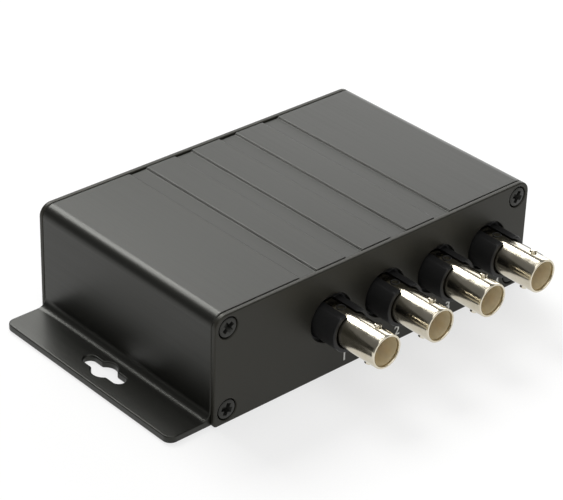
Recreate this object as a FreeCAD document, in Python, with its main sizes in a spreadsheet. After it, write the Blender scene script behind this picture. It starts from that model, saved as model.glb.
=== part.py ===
import FreeCAD, Part
import math
import os
import Sketcher

# Network to coax converter in an extruded aluminium case with a flange along each side.
#
# Frame: X runs across the case, Y from the coax jacks at the front (-Y) to the back panel (+Y), Z up.
# The origin is the centre of the underside. All sizes are in millimetres.

GROOVES = 4
JACKS = 4
CHANNEL_LIGHTS = 4
SOCKET_WIRES = 8
CAPACITORS = 2

SIZES = (
    # The case, one aluminium extrusion
    ("case_width", 110.0, "across the case, without its flanges"),
    ("case_height", 32.0, "underside to top"),
    ("case_length", 68.0, "length of the extrusion, without its end plates"),
    ("wall", 2.0, "wall of the extrusion"),
    ("top_round", 3.5, "radius of the long top edges"),
    ("flange_reach", 13.0, "how far each flange stands out"),
    ("flange_thick", 2.0, "thickness of the flanges"),
    ("flange_round", 2.5, "radius of the flanges' outer corners"),
    ("flange_fillet", 2.5, "radius between flange and side"),
    ("keyhole_dia", 7.0, "round middle of each keyhole"),
    ("keyhole_slot", 3.6, "width of the keyhole's slots"),
    ("keyhole_length", 15.6, "keyhole from end to end"),
    ("groove_width", 5.6, "width of a groove in the top"),
    ("groove_pitch", 15.7, "groove to groove"),
    ("groove_depth", 0.5, "depth of a groove"),
    ("port_inset_x", 4.2, "screw ports in from the sides"),
    ("port_inset_z", 4.0, "screw ports in from top and underside"),
    ("port_play", 0.3, "play of a screw's shank in its eight-sided port"),
    ("port_wall", 1.0, "wall between a screw port and the inside of the case"),
    ("rail_reach", 1.6, "how far the board rails stand in from the side walls"),
    ("rail_thick", 1.2, "thickness of a board rail"),
    # The end plates and their screws
    ("plate_thick", 1.5, "end plate thickness"),
    ("plate_foot_round", 1.0, "radius of the end plates' lower corners"),
    ("head_dia", 5.5, "screw head across"),
    ("head_drop", 0.1, "screw head below the plate's face"),
    ("head_play", 0.25, "play round the screw's head"),
    ("shank_dia", 2.4, "screw shank, six-sided under its thread, across its corners"),
    ("screw_length", 9.0, "screw from the top of its head to its tip"),
    # The circuit board
    ("board_level", 8.0, "underside of the board above the case's underside"),
    ("board_thick", 1.6, "board thickness"),
    ("board_gap", 0.3, "play of the board in its rails and at its ends"),
    ("pin_play", 0.3, "play round what passes through the board"),
    ("pin_tail", 1.4, "length of a soldered pin below the board"),
    ("pin_width", 0.9, "square solder pin"),
    # The coax jacks
    ("jack_pitch", 18.85, "jack to jack"),
    ("jack_row_x", 11.9, "middle of the row, right of the case's centre"),
    ("jack_height", 16.9, "jack axis above the underside"),
    ("neck_dia", 12.4, "round neck that carries the barrel"),
    ("neck_play", 0.7, "play of the neck in the front plate"),
    ("neck_reach", 7.5, "neck in front of the plate"),
    ("neck_flat", 4.85, "flat on the neck's top, above the axis"),
    ("block_width", 14.6, "moulded block behind the plate"),
    ("block_rise", 7.1, "block above the jack axis"),
    ("block_depth", 13.5, "depth of the block"),
    ("jack_play", 0.3, "play between the moulding and the barrel"),
    ("barrel_dia", 9.6, "outside of the metal barrel"),
    ("barrel_reach", 20.2, "barrel's mouth in front of the plate"),
    ("barrel_bore", 8.2, "bore at the mouth"),
    ("barrel_seat", 4.0, "barrel's back end behind the plate"),
    ("lug_width", 2.0, "bayonet lug across its corners"),
    ("lug_span", 11.0, "over the two lugs"),
    ("lug_setback", 5.0, "lugs behind the mouth"),
    ("lug_turn", 15.0, "turn of the lugs from upright, in degrees"),
    ("tail_inset", 0.1, "ground tail in from the barrel's outside and its bore"),
    ("tail_width", 1.2, "width of the ground tail"),
    ("insulator_setback", 11.7, "insulator's face behind the mouth"),
    ("insulator_play", 0.3, "play of the insulator in the barrel"),
    ("contact_dia", 2.1, "centre contact"),
    ("contact_bore", 1.35, "bore of the centre contact"),
    ("contact_bore_depth", 5.5, "depth of that bore"),
    ("contact_setback", 5.0, "contact behind the mouth"),
    # The network socket
    ("socket_x", -22.0, "middle of the network socket"),
    ("socket_width", 16.0, "over the metal shield"),
    ("socket_height", 13.4, "shield above the board"),
    ("socket_depth", 21.3, "shield from front to back"),
    ("socket_proud", 0.6, "socket's face outside the back plate"),
    ("socket_skin", 0.3, "sheet of the shield"),
    ("socket_play", 0.3, "play in the back plate's window"),
    ("mouth_width", 11.8, "mouth for the plug"),
    ("mouth_height", 6.8, "height of the mouth above its key"),
    ("mouth_depth", 12.0, "depth of the mouth"),
    ("mouth_top", 2.3, "mouth below the top of the shield"),
    ("key_width", 6.2, "key for the latch"),
    ("key_height", 1.6, "height of the key"),
    ("notch_width", 3.3, "notch under the key"),
    ("notch_height", 1.2, "height of the notch"),
    ("wire_pitch", 1.02, "contact wire to contact wire"),
    ("wire_width", 0.45, "width of a contact wire"),
    ("wire_thick", 0.35, "thickness of a contact wire"),
    ("wire_inset", 1.2, "wires behind the socket's face"),
    ("wire_flat", 1.6, "level end of a wire, against the top of the mouth"),
    ("wire_run", 6.5, "slanting part of a wire, along the socket"),
    ("wire_drop", 2.3, "how far it slants down into the mouth"),
    # The power inlet
    ("power_x", 40.0, "middle of the power inlet"),
    ("power_rise", 6.6, "axis of the inlet above the board"),
    ("power_width", 9.0, "width of its block"),
    ("power_top", 5.0, "block above the axis"),
    ("power_depth", 13.0, "depth of its block behind the plate"),
    ("power_proud", 0.8, "block's face outside the back plate"),
    ("power_play", 0.3, "play of the block in the plate, and of the finger in the block"),
    ("power_bore", 6.3, "bore for the plug"),
    ("power_bore_depth", 9.5, "depth of the bore"),
    ("power_pin_dia", 2.1, "pin in the bore"),
    ("power_pin_setback", 1.0, "tip of the pin inside the mouth"),
    ("finger_width", 2.0, "spring finger under the plug"),
    ("finger_thick", 0.4, "thickness of the finger"),
    ("finger_length", 4.0, "length of the finger"),
    ("finger_back", 8.4, "back of the finger inside the mouth"),
    ("finger_lift", 0.6, "top of the finger above the bottom of the bore"),
    # The lights, each a clear guide over an emitter on the board
    ("light_x", 19.5, "first channel light"),
    ("light_pitch", 6.5, "light to light"),
    ("light_rise", 5.0, "lights above the board"),
    ("light_side", 2.6, "side of a guide's square section"),
    ("light_depth", 7.0, "guide from its face to its back"),
    ("light_proud", 0.4, "guide's face outside the back plate"),
    ("light_play", 0.3, "play of a guide in the plate"),
    ("emitter_width", 2.0, "emitter across"),
    ("emitter_depth", 1.4, "emitter from front to back"),
    ("emitter_height", 0.8, "emitter above the board"),
    # What stands on the board
    ("transformer_width", 12.8, "line transformer across"),
    ("transformer_depth", 9.4, "line transformer from front to back"),
    ("transformer_height", 6.2, "line transformer above the board"),
    ("modem_side", 10.0, "side of a modem chip"),
    ("modem_height", 1.2, "height of a modem chip"),
    ("switch_side", 14.0, "side of the switch chip"),
    ("switch_height", 1.4, "height of the switch chip"),
    ("switch_x", 2.5, "middle of the switch chip"),
    ("switch_y", 16.0, "middle of the switch chip, to the back"),
    ("magnetics_width", 12.7, "network transformer across"),
    ("magnetics_depth", 7.0, "network transformer from front to back"),
    ("magnetics_height", 6.0, "network transformer above the board"),
    ("capacitor_width", 4.3, "moulded capacitor across"),
    ("capacitor_depth", 7.3, "moulded capacitor from front to back"),
    ("capacitor_height", 2.9, "moulded capacitor above the board"),
    ("capacitor_pitch", 7.0, "capacitor to capacitor"),
    ("capacitor_x", 31.5, "first capacitor"),
    ("capacitor_y", 9.0, "middle of the capacitors, to the back"),
    ("inductor_side", 12.0, "power inductor"),
    ("inductor_height", 6.5, "power inductor above the board"),
    ("inductor_x", 20.5, "middle of the inductor"),
    ("inductor_y", 16.0, "middle of the inductor, to the back"),
    ("crystal_width", 5.0, "crystal's can across"),
    ("crystal_depth", 3.2, "crystal's can from front to back"),
    ("crystal_height", 1.2, "crystal's can above the board"),
    ("crystal_x", -9.0, "middle of the crystal's can"),
    ("crystal_y", 16.0, "middle of the crystal's can, to the back"),
    ("block_bevel", 0.5, "bevel round the top of the board's larger blocks"),
)

# Places that several pieces share, as formulas over the sheet
HALF_WIDTH = "(Sizes.case_width / 2)"
INNER_HALF = "(Sizes.case_width / 2 - Sizes.wall)"
FLANGE_EDGE = "(Sizes.case_width / 2 + Sizes.flange_reach)"
END_FACE = "(Sizes.case_length / 2 + Sizes.plate_thick)"
BOARD_TOP = "(Sizes.board_level + Sizes.board_thick)"
PIN_END = "(Sizes.board_level - Sizes.pin_tail)"
HALF_PIN = "(Sizes.pin_width / 2)"
PORT_CORE = "(Sizes.shank_dia + 2 * Sizes.port_play)"

# Stations along a coax jack, from the front plate's face inwards
BLOCK_BACK = "(Sizes.plate_thick + Sizes.block_depth)"
BARREL_BACK = "(Sizes.plate_thick + Sizes.barrel_seat)"
INSULATOR_FACE = "(Sizes.insulator_setback - Sizes.barrel_reach)"

# The ground tail across the barrel's wall, from the jack's axis
TAIL_INSIDE = "(Sizes.barrel_bore / 2 + Sizes.tail_inset)"
TAIL_OUTSIDE = "(Sizes.barrel_dia / 2 - Sizes.tail_inset)"

# Stations of the power inlet and of the lights
POWER_Z = f"({BOARD_TOP} + Sizes.power_rise)"
POWER_BACK = "(Sizes.power_proud + Sizes.plate_thick + Sizes.power_depth)"
LIGHT_Z = f"({BOARD_TOP} + Sizes.light_rise)"
LIGHT_FACE = f"({END_FACE} + Sizes.light_proud)"
EMITTER_Y = f"({LIGHT_FACE} - Sizes.light_depth + Sizes.light_side / 2)"

# Rows of parts on the board, with equal gaps from the jacks' tails to the network socket
TAILS_BACK = f"({BLOCK_BACK} + Sizes.tail_width - {END_FACE})"
SOCKET_FRONT = f"({END_FACE} + Sizes.socket_proud - Sizes.socket_depth)"
ROW_DEPTHS = "(Sizes.transformer_depth + Sizes.modem_side + Sizes.magnetics_depth)"
ROW_GAP = f"(({SOCKET_FRONT} - {TAILS_BACK} - {ROW_DEPTHS}) / 4)"
TRANSFORMER_Y = f"({TAILS_BACK} + {ROW_GAP} + Sizes.transformer_depth / 2)"
MODEM_Y = f"({TRANSFORMER_Y} + (Sizes.transformer_depth + Sizes.modem_side) / 2 + {ROW_GAP})"
MAGNETICS_Y = f"({MODEM_Y} + (Sizes.modem_side + Sizes.magnetics_depth) / 2 + {ROW_GAP})"

NEAR = 1e-4

doc = FreeCAD.newDocument("CoaxConverter")
sheet = doc.addObject("Spreadsheet::Sheet", "Sizes")
nodes = []


def fill_sheet():
    for row, (name, size, meaning) in enumerate(SIZES, 1):
        sheet.set(f"A{row}", name)
        sheet.set(f"B{row}", str(size))
        sheet.set(f"C{row}", meaning)
        sheet.setAlias(f"B{row}", name)
    doc.recompute()


def value(expression):
    """What a formula over the sheet comes to, as a plain number."""
    return float(sheet.evalExpression(expression))


# Bodies and sketches


def new_body(label, x="0", y="0", z="0", half_turn=False):
    """A body placed in the case by three formulas, turned to face the back if half_turn is set."""
    body = doc.addObject("PartDesign::Body", label)
    body.Label = label
    if half_turn:
        body.Placement.Rotation = FreeCAD.Rotation(FreeCAD.Vector(0, 0, 1), 180)
    for axis, expression in zip("xyz", (x, y, z)):
        body.setExpression(f"Placement.Base.{axis}", expression)
    return body


def new_node(label, x="0", y="0", z="0"):
    """A body that is exported as a sub-part of its own."""
    body = new_body(label, x, y, z)
    nodes.append(body)
    return body


def new_group(label, bodies):
    """One node of several separate solids."""
    part = doc.addObject("Part::Compound", label)
    part.Label = label
    part.Links = bodies
    nodes.append(part)


def new_sketch(body, name, role, offset="0"):
    """A sketch on one of the body's own origin planes, moved along the plane's normal."""
    plane = next(feature for feature in body.Origin.OriginFeatures if feature.Role == role)
    sketch = body.newObject("Sketcher::SketchObject", name)
    sketch.AttachmentSupport = (plane, [""])
    sketch.MapMode = "FlatFace"
    sketch.setExpression("AttachmentOffset.Base.z", offset)
    return sketch


def cross_sketch(body, name, y):
    """A sketch across the body at depth y. It draws in X and Z, and its normal points to -Y."""
    return new_sketch(body, name, "XZ_Plane", f"-({y})")


def level_sketch(body, name, z):
    """A level sketch at height z. It draws in X and Y, and its normal points up."""
    return new_sketch(body, name, "XY_Plane", z)


def fix_size(sketch, constraint, expression):
    index = sketch.addConstraint(constraint)
    name = f"size{index}"
    sketch.renameConstraint(index, name)
    sketch.setExpression(f"Constraints.{name}", expression)


def fix_point(sketch, geometry, point, x, y):
    """Bind one point of a sketch to two formulas."""
    fix_size(sketch, Sketcher.Constraint("DistanceX", -1, 1, geometry, point, value(x)), x)
    fix_size(sketch, Sketcher.Constraint("DistanceY", -1, 1, geometry, point, value(y)), y)


def draw_outline(sketch, corners):
    """A closed outline of straight lines through corners given as pairs of formulas."""
    points = [FreeCAD.Vector(value(x), value(y), 0) for x, y in corners]
    first = sketch.GeometryCount
    count = len(points)
    for n, point in enumerate(points):
        sketch.addGeometry(Part.LineSegment(point, points[(n + 1) % count]), False)
    for n, (x, y) in enumerate(corners):
        following = first + (n + 1) % count
        sketch.addConstraint(Sketcher.Constraint("Coincident", first + n, 2, following, 1))
        fix_point(sketch, first + n, 1, x, y)


def draw_box(sketch, x0, x1, y0, y1):
    draw_outline(sketch, [(x0, y0), (x1, y0), (x1, y1), (x0, y1)])


def draw_centred_box(sketch, x, y, width, depth):
    draw_box(sketch, f"{x} - ({width}) / 2", f"{x} + ({width}) / 2",
             f"{y} - ({depth}) / 2", f"{y} + ({depth}) / 2")


def add_arc(sketch, x, y, diameter, start, end):
    """Part of a circle about a point given by two formulas, from one angle to another in degrees."""
    centre = FreeCAD.Vector(value(x), value(y), 0)
    radius = value(diameter) / 2
    circle = Part.Circle(centre, FreeCAD.Vector(0, 0, 1), radius)
    if end - start < 360:
        circle = Part.ArcOfCircle(circle, math.radians(start), math.radians(end))
    curve = sketch.addGeometry(circle, False)
    fix_point(sketch, curve, 3, x, y)
    fix_size(sketch, Sketcher.Constraint("Radius", curve, radius), f"({diameter}) / 2")
    return curve


def draw_circle(sketch, x, y, diameter):
    add_arc(sketch, x, y, diameter, 0, 360)


def draw_slot(sketch, x, length, width):
    """A slot with round ends that runs along the sketch's upright axis, centred on its level axis."""
    reach = f"(({length}) - ({width})) / 2"
    upper = add_arc(sketch, x, reach, width, 0, 180)
    lower = add_arc(sketch, x, f"-({reach})", width, 180, 360)
    for side, upper_end, lower_end in ((-1, 2, 1), (1, 1, 2)):
        edge = value(x) + side * value(width) / 2
        top, bottom = FreeCAD.Vector(edge, value(reach), 0), FreeCAD.Vector(edge, -value(reach), 0)
        line = sketch.addGeometry(Part.LineSegment(top, bottom), False)
        sketch.addConstraint(Sketcher.Constraint("Tangent", line, 1, upper, upper_end))
        sketch.addConstraint(Sketcher.Constraint("Tangent", line, 2, lower, lower_end))


def draw_polygon(sketch, x, y, diameter, sides):
    """A regular polygon about a point, measured across its corners."""
    corners = []
    for n in range(sides):
        turn = f"{360 * (n + 0.5) / sides} deg"
        corners.append((f"{x} + ({diameter}) / 2 * cos({turn})", f"{y} + ({diameter}) / 2 * sin({turn})"))
    draw_outline(sketch, corners)


def draw_flatted_circle(sketch, diameter, flat):
    """A circle about the origin that a level line cuts off above it."""
    radius, level = value(diameter) / 2, value(flat)
    half = math.sqrt(radius ** 2 - level ** 2)
    angle = math.degrees(math.asin(level / radius))
    arc = add_arc(sketch, "0", "0", diameter, 180 - angle, 360 + angle)
    chord = Part.LineSegment(FreeCAD.Vector(half, level, 0), FreeCAD.Vector(-half, level, 0))
    line = sketch.addGeometry(chord, False)
    sketch.addConstraint(Sketcher.Constraint("Coincident", arc, 2, line, 1))
    sketch.addConstraint(Sketcher.Constraint("Coincident", arc, 1, line, 2))
    sketch.addConstraint(Sketcher.Constraint("Horizontal", line))
    fix_size(sketch, Sketcher.Constraint("DistanceY", -1, 1, line, 1, level), flat)


# Features


def volume_of(body):
    doc.recompute()
    return body.Shape.Volume if body.Tip else 0.0


def add_feature(body, kind, name, sketch, settings, expressions):
    """Add one feature, and check that it adds or takes away material as its kind should."""
    before = volume_of(body)
    feature = body.newObject(f"PartDesign::{kind}", name)
    feature.Profile = sketch
    for key, setting in settings.items():
        setattr(feature, key, setting)
    for key, expression in expressions.items():
        feature.setExpression(key, expression)
    body.Tip = feature
    change = volume_of(body) - before
    if (change if kind == "Pad" else -change) <= 0:
        raise RuntimeError(f"{body.Label} {name} changes the volume by {change:.3f}")
    return feature


def side_type(both_ways):
    return "Symmetric" if both_ways else "One side"


def pad(body, name, sketch, length, both_ways=False, flip=False):
    """Add material along the sketch's normal, or against it if flip is set."""
    settings = {"SideType": side_type(both_ways), "Reversed": flip}
    return add_feature(body, "Pad", name, sketch, settings, {"Length": length})


def pocket(body, name, sketch, length, both_ways=False, flip=False):
    """Cut against the sketch's normal, or along it if flip is set."""
    settings = {"SideType": side_type(both_ways), "Reversed": flip}
    return add_feature(body, "Pocket", name, sketch, settings, {"Length": length})


def edges_at(feature, places):
    """Names of the edges whose ends all lie at one of the places, each a dict of axis and formula."""
    targets = [{axis: value(expression) for axis, expression in place.items()} for place in places]
    found = []
    for number, edge in enumerate(feature.Shape.Edges, 1):
        ends = [vertex.Point for vertex in edge.Vertexes]
        if any(all(abs(getattr(end, axis) - at) < NEAR for end in ends for axis, at in target.items())
               for target in targets):
            found.append(f"Edge{number}")
    return found


def dress(body, kind, name, base, places, size):
    """A Fillet or Chamfer on the edges that lie at the given places."""
    edges = edges_at(base, places)
    if not edges:
        raise RuntimeError(f"{body.Label} {name} finds no edge")
    feature = body.newObject(f"PartDesign::{kind}", name)
    feature.Base = (base, edges)
    feature.setExpression("Radius" if kind == "Fillet" else "Size", size)
    body.Tip = feature
    doc.recompute()
    return feature


# The case


def port_places():
    """Centres of the four screw ports, as pairs of formulas."""
    x = "(Sizes.case_width / 2 - Sizes.port_inset_x)"
    return [(f"{side} * {x}", z) for side in (-1, 1)
            for z in ("Sizes.port_inset_z", "Sizes.case_height - Sizes.port_inset_z")]


def make_housing():
    body = new_node("housing")
    section = cross_sketch(body, "section", "0")
    draw_outline(section, [
        (f"-{FLANGE_EDGE}", "0"),
        (FLANGE_EDGE, "0"),
        (FLANGE_EDGE, "Sizes.flange_thick"),
        (HALF_WIDTH, "Sizes.flange_thick"),
        (HALF_WIDTH, "Sizes.case_height"),
        (f"-{HALF_WIDTH}", "Sizes.case_height"),
        (f"-{HALF_WIDTH}", "Sizes.flange_thick"),
        (f"-{FLANGE_EDGE}", "Sizes.flange_thick"),
    ])
    latest = pad(body, "extrusion", section, "Sizes.case_length", both_ways=True)
    round_housing(body, latest)
    hollow = cross_sketch(body, "hollow", "0")
    draw_box(hollow, f"-{INNER_HALF}", INNER_HALF, "Sizes.wall", "Sizes.case_height - Sizes.wall")
    pocket(body, "inside", hollow, "Sizes.case_length", both_ways=True)
    add_ports_and_rails(body)
    cut_top_grooves(body)
    cut_keyholes(body)


def round_housing(body, latest):
    sides = (HALF_WIDTH, f"-{HALF_WIDTH}")
    tops = [{"x": x, "z": "Sizes.case_height"} for x in sides]
    latest = dress(body, "Fillet", "top_corners", latest, tops, "Sizes.top_round")
    roots = [{"x": x, "z": "Sizes.flange_thick"} for x in sides]
    latest = dress(body, "Fillet", "flange_roots", latest, roots, "Sizes.flange_fillet")
    corners = [{"x": f"{side} * {FLANGE_EDGE}", "y": f"{end} * Sizes.case_length / 2"}
               for side in (-1, 1) for end in (-1, 1)]
    dress(body, "Fillet", "flange_corners", latest, corners, "Sizes.flange_round")


def add_ports_and_rails(body):
    """The screw ports in the corners and the pairs of rails that the board slides between.

    Ports and rails are rooted a quarter of the wall deep, which keeps them clear of the rounded outside.
    """
    posts = cross_sketch(body, "port_posts", "0")
    reach = f"({PORT_CORE} / 2 + Sizes.port_wall)"
    inner = f"({HALF_WIDTH} - Sizes.port_inset_x - {reach})"
    wall_x = f"({INNER_HALF} + Sizes.wall / 4)"
    top, under = "(Sizes.case_height - Sizes.wall * 3 / 4)", "(Sizes.wall * 3 / 4)"
    for side in (-1, 1):
        draw_box(posts, f"{side} * {inner}", f"{side} * {wall_x}", under, f"Sizes.port_inset_z + {reach}")
        draw_box(posts, f"{side} * {inner}", f"{side} * {wall_x}",
                 f"Sizes.case_height - Sizes.port_inset_z - {reach}", top)
    pad(body, "screw_ports", posts, "Sizes.case_length", both_ways=True)
    cores = cross_sketch(body, "port_bores", "0")
    for x, z in port_places():
        draw_polygon(cores, x, z, PORT_CORE, 8)
    pocket(body, "port_cores", cores, "Sizes.case_length", both_ways=True)
    bars = cross_sketch(body, "rail_bars", "0")
    under, over = "Sizes.board_level", f"{BOARD_TOP} + Sizes.board_gap"
    for side in (-1, 1):
        inside = f"{side} * ({INNER_HALF} - Sizes.rail_reach)"
        outside = f"{side} * {wall_x}"
        draw_box(bars, inside, outside, f"{under} - Sizes.rail_thick", under)
        draw_box(bars, inside, outside, over, f"{over} + Sizes.rail_thick")
    pad(body, "board_rails", bars, "Sizes.case_length", both_ways=True)


def cut_top_grooves(body):
    bars = cross_sketch(body, "groove_bars", "0")
    for n in range(GROOVES):
        middle = f"{n - (GROOVES - 1) / 2} * Sizes.groove_pitch"
        draw_box(bars, f"{middle} - Sizes.groove_width / 2", f"{middle} + Sizes.groove_width / 2",
                 "Sizes.case_height - Sizes.groove_depth", "Sizes.case_height + 1")
    pocket(body, "top_grooves", bars, "Sizes.case_length", both_ways=True)


def cut_keyholes(body):
    """In each flange a round hole for a screw's head, with a slot for its neck towards both ends."""
    start = "Sizes.flange_thick + Sizes.flange_fillet"
    centres = [f"{side} * ({HALF_WIDTH} + Sizes.flange_reach / 2)" for side in (-1, 1)]
    circles = level_sketch(body, "keyhole_circles", start)
    slots = level_sketch(body, "keyhole_slots", start)
    for x in centres:
        draw_circle(circles, x, "0", "Sizes.keyhole_dia")
        draw_slot(slots, x, "Sizes.keyhole_length", "Sizes.keyhole_slot")
    pocket(body, "round_holes", circles, start)
    pocket(body, "slot_holes", slots, start)


# The end plates


def make_plate(label, end):
    """A flat end plate, at the front for end -1 and at the back for end 1."""
    body = new_node(label)
    outer = f"{end} * {END_FACE}"
    face = cross_sketch(body, "outline", outer)
    draw_box(face, f"-{HALF_WIDTH}", HALF_WIDTH, "0", "Sizes.case_height")
    latest = pad(body, "sheet", face, "Sizes.plate_thick", flip=end < 0)
    sides = (HALF_WIDTH, f"-{HALF_WIDTH}")
    tops = [{"x": x, "z": "Sizes.case_height"} for x in sides]
    latest = dress(body, "Fillet", "top_corners", latest, tops, "Sizes.top_round")
    feet = [{"x": x, "z": "0"} for x in sides]
    dress(body, "Fillet", "foot_corners", latest, feet, "Sizes.plate_foot_round")
    sinks = cross_sketch(body, "sink_circles", outer)
    for x, z in port_places():
        draw_circle(sinks, x, z, "Sizes.head_dia + 2 * Sizes.head_play")
    pocket(body, "screw_holes", sinks, "Sizes.plate_thick", flip=end > 0)
    return body


def make_front_plate():
    body = make_plate("front_plate", -1)
    circles = cross_sketch(body, "jack_circles", f"-{END_FACE}")
    for number in range(JACKS):
        draw_circle(circles, jack_x(number), "Sizes.jack_height", "Sizes.neck_dia + 2 * Sizes.neck_play")
    pocket(body, "jack_holes", circles, "Sizes.plate_thick")


def make_back_plate():
    body = make_plate("back_plate", 1)
    holes = cross_sketch(body, "hole_outlines", END_FACE)
    draw_box(holes, "Sizes.socket_x - Sizes.socket_width / 2 - Sizes.socket_play",
             "Sizes.socket_x + Sizes.socket_width / 2 + Sizes.socket_play",
             f"{BOARD_TOP} - Sizes.socket_play",
             f"{BOARD_TOP} + Sizes.socket_height + Sizes.socket_play")
    draw_box(holes, "Sizes.power_x - Sizes.power_width / 2 - Sizes.power_play",
             "Sizes.power_x + Sizes.power_width / 2 + Sizes.power_play",
             f"{BOARD_TOP} - Sizes.power_play", f"{POWER_Z} + Sizes.power_top + Sizes.power_play")
    window = "Sizes.light_side + 2 * Sizes.light_play"
    for x in light_places():
        draw_centred_box(holes, x, LIGHT_Z, window, window)
    pocket(body, "panel_holes", holes, "Sizes.plate_thick", flip=True)


# The screws


def make_screw(label, x, y, z, at_back):
    """A screw with its head outwards, sunk in the plate, and the top of the head at x, y, z."""
    body = new_body(label, x, y, z, half_turn=at_back)
    head = cross_sketch(body, "head_circle", "0")
    draw_circle(head, "0", "0", "Sizes.head_dia")
    pad(body, "head", head, "Sizes.plate_thick - Sizes.head_drop", flip=True)
    shank = cross_sketch(body, "shank_outline", "0")
    draw_polygon(shank, "0", "0", "Sizes.shank_dia", 6)
    pad(body, "shank", shank, "Sizes.screw_length", flip=True)
    return body


def make_screws(label, end):
    """The four screws of one end plate, as one node of four solids."""
    top = f"{end} * ({END_FACE} - Sizes.head_drop)"
    new_group(label, [make_screw(f"{label}_{n}", x, top, z, end > 0)
                      for n, (x, z) in enumerate(port_places(), 1)])


# The coax jacks, each piece about the jack's own axis with its origin on the front plate's face


def jack_x(number):
    return f"(Sizes.jack_row_x + {number - (JACKS - 1) / 2} * Sizes.jack_pitch)"


def jack_node(piece, number):
    return new_node(f"jack_{piece}_{number + 1}", jack_x(number), f"-{END_FACE}", "Sizes.jack_height")


def make_jack_moulding(number):
    """The block that stands on the board, with the flatted neck that comes through the plate."""
    body = jack_node("moulding", number)
    foot = f"({BOARD_TOP} - Sizes.jack_height)"
    outline = cross_sketch(body, "block_outline", BLOCK_BACK)
    draw_box(outline, "-Sizes.block_width / 2", "Sizes.block_width / 2", foot, "Sizes.block_rise")
    pad(body, "block", outline, "Sizes.block_depth")
    neck = cross_sketch(body, "neck_outline", "Sizes.plate_thick")
    draw_flatted_circle(neck, "Sizes.neck_dia", "Sizes.neck_flat")
    pad(body, "neck", neck, "Sizes.plate_thick + Sizes.neck_reach")
    bore = cross_sketch(body, "bore_circle", "-Sizes.neck_reach")
    draw_circle(bore, "0", "0", "Sizes.barrel_dia + 2 * Sizes.jack_play")
    pocket(body, "bore", bore, f"Sizes.neck_reach + {BARREL_BACK}")
    slots = cross_sketch(body, "tail_slots", BLOCK_BACK)
    side = "Sizes.pin_width + 2 * Sizes.jack_play"
    draw_centred_box(slots, "0", "0", side, side)
    draw_box(slots, f"{TAIL_INSIDE} - Sizes.jack_play", f"{TAIL_OUTSIDE} + Sizes.jack_play",
             "-Sizes.tail_width / 2 - Sizes.jack_play", "Sizes.tail_width / 2 + Sizes.jack_play")
    pocket(body, "slots_for_the_tails", slots, f"{BLOCK_BACK} - {BARREL_BACK}", flip=True)


def add_tail(body, start, half, sides, back, base):
    """A tail along the Y axis from start, bent down behind a block. Sides are its two places in X."""
    inside, outside = sides
    profile = new_sketch(body, "tail_profile", "YZ_Plane", inside)
    draw_outline(profile, [
        (start, half),
        (f"{back} + 2 * {half}", half),
        (f"{back} + 2 * {half}", base),
        (back, base),
        (back, f"-{half}"),
        (start, f"-{half}"),
    ])
    pad(body, "tail", profile, f"{outside} - {inside}")


def make_jack_barrel(number):
    """The bayonet barrel: a tube with two lugs near its mouth and a tail to the board."""
    body = jack_node("barrel", number)
    mouth = "-Sizes.barrel_reach"
    outside = cross_sketch(body, "barrel_circle", BARREL_BACK)
    draw_circle(outside, "0", "0", "Sizes.barrel_dia")
    pad(body, "rod", outside, f"{BARREL_BACK} + Sizes.barrel_reach")
    lug = level_sketch(body, "lug_outline", "0")
    lug.AttachmentOffset.Rotation = FreeCAD.Rotation(FreeCAD.Vector(0, 1, 0), value("Sizes.lug_turn"))
    lug.setExpression("AttachmentOffset.Rotation.Angle", "Sizes.lug_turn")
    draw_polygon(lug, "0", f"{mouth} + Sizes.lug_setback", "Sizes.lug_width", 8)
    pad(body, "lugs", lug, "Sizes.lug_span", both_ways=True)
    bore = cross_sketch(body, "bore_circle", mouth)
    draw_circle(bore, "0", "0", "Sizes.barrel_bore")
    pocket(body, "bore", bore, f"{BARREL_BACK} + Sizes.barrel_reach")
    add_tail(body, BARREL_BACK, "Sizes.tail_width / 2", (TAIL_INSIDE, TAIL_OUTSIDE), BLOCK_BACK,
             f"{PIN_END} - Sizes.jack_height")


def make_jack_insulator(number):
    """The insulator in the barrel, with a square hole for the contact's tail."""
    body = jack_node("insulator", number)
    outline = cross_sketch(body, "insulator_circle", BARREL_BACK)
    draw_circle(outline, "0", "0", "Sizes.barrel_bore - 2 * Sizes.insulator_play")
    pad(body, "insulator", outline, f"{BARREL_BACK} - {INSULATOR_FACE}")
    hole = cross_sketch(body, "tail_hole", INSULATOR_FACE)
    side = "Sizes.pin_width + 2 * Sizes.insulator_play"
    draw_centred_box(hole, "0", "0", side, side)
    pocket(body, "hole", hole, f"{BARREL_BACK} - {INSULATOR_FACE}")


def make_jack_contact(number):
    """The centre contact: a bored pin that stands on the insulator, with a square tail to the board."""
    body = jack_node("contact", number)
    front = "(Sizes.contact_setback - Sizes.barrel_reach)"
    outside = cross_sketch(body, "pin_circle", INSULATOR_FACE)
    draw_circle(outside, "0", "0", "Sizes.contact_dia")
    pad(body, "pin", outside, f"{INSULATOR_FACE} - {front}")
    bore = cross_sketch(body, "bore_circle", front)
    draw_circle(bore, "0", "0", "Sizes.contact_bore")
    pocket(body, "bore", bore, "Sizes.contact_bore_depth")
    add_tail(body, INSULATOR_FACE, HALF_PIN, (f"-{HALF_PIN}", HALF_PIN), BLOCK_BACK,
             f"{PIN_END} - Sizes.jack_height")


# The network socket, each piece with its origin on the board, at the middle of the socket's face


def mouth_outline():
    """The mouth for the plug, stepped below for the latch."""
    top = "(Sizes.socket_height - Sizes.mouth_top)"
    floor = f"({top} - Sizes.mouth_height)"
    key_floor = f"({floor} - Sizes.key_height)"
    notch_floor = f"({key_floor} - Sizes.notch_height)"
    mouth, key, notch = "Sizes.mouth_width / 2", "Sizes.key_width / 2", "Sizes.notch_width / 2"
    right = [(mouth, top), (mouth, floor), (key, floor)]
    right += [(key, key_floor), (notch, key_floor), (notch, notch_floor)]
    return right + [(f"-{x}", z) for x, z in reversed(right)]


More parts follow.
